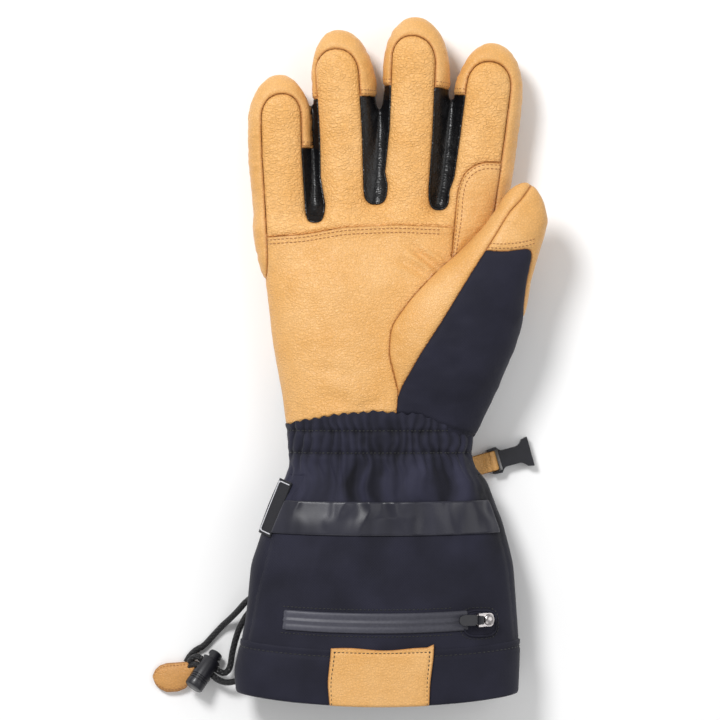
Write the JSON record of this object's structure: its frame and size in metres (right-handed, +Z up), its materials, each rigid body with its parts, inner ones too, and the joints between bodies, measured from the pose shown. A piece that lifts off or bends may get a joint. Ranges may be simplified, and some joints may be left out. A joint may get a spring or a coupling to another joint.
{
  "type": "heated glove",
  "caption": "Padded winter glove for the right hand with a gathered wrist, long cuff, pocket zip, drawcord and clip, lying palm up.",
  "frame": {"origin": "middle of the footprint of the glove without its drawcord, on the surface that it lies on", "axes": "+X towards the thumb's side, +Y from the hem to the fingertips, +Z up through the palm"},
  "size_m": [0.1979, 0.3418, 0.0506],
  "materials": {
    "leather": "soft goat leather, fine grain, tan",
    "black_leather": "smooth black leather, slight gloss",
    "softshell": "fine matt woven softshell, blue black",
    "film": "satin welded film, dark grey",
    "zinc": "polished cast zinc",
    "moulded": "satin moulded plastic, black",
    "label_cloth": "woven tape, black with a pale border",
    "braid": "braided elastic cord, black"
  },
  "bodies": {
    "glove": {"finger_fronts": "leather", "palm_lower": "leather", "index_patch": "leather", "hand_back": "softshell", "cap_little": "leather", "cap_ring": "leather", "cap_middle": "leather", "cap_index": "leather", "wall_little_ring": "black_leather", "wall_ring_middle": "black_leather", "wall_middle_index": "black_leather", "thumb_front": "leather", "thumb_cap": "leather", "thumb_back": "softshell", "cuff_front": "softshell", "cuff_back": "softshell", "hem_band": "softshell", "reflective_band": "film", "zip_tape": "film", "hem_patch": "leather", "zip_slider": "zinc", "side_label": "label_cloth", "wrist_strap": "leather", "clip_buckle": "moulded", "cord_lock_barrel": "moulded", "cord_tab": "leather", "drawcord_outer": "braid", "drawcord_inner": "braid", "drawcord_lower": "braid"},
    "zip_pull": {"zip_pull": "moulded"},
    "lock_button": {"cord_lock_button": "moulded"}
  },
  "joints": [
    {"name": "zip_pull_swing", "type": "hinge", "parent": "glove", "child": "zip_pull", "pos_m": [0.04386, -0.12826, 0.04743], "axis": [0, 1, 0], "range_deg": [0, 150]},
    {"name": "lock_button_press", "type": "slide", "parent": "glove", "child": "lock_button", "axis": [-0.5423, -0.7745, 0.3256], "range_m": [0, 0.0025], "stiffness_N_per_m": 400, "springref_m": -0.003}
  ]
}
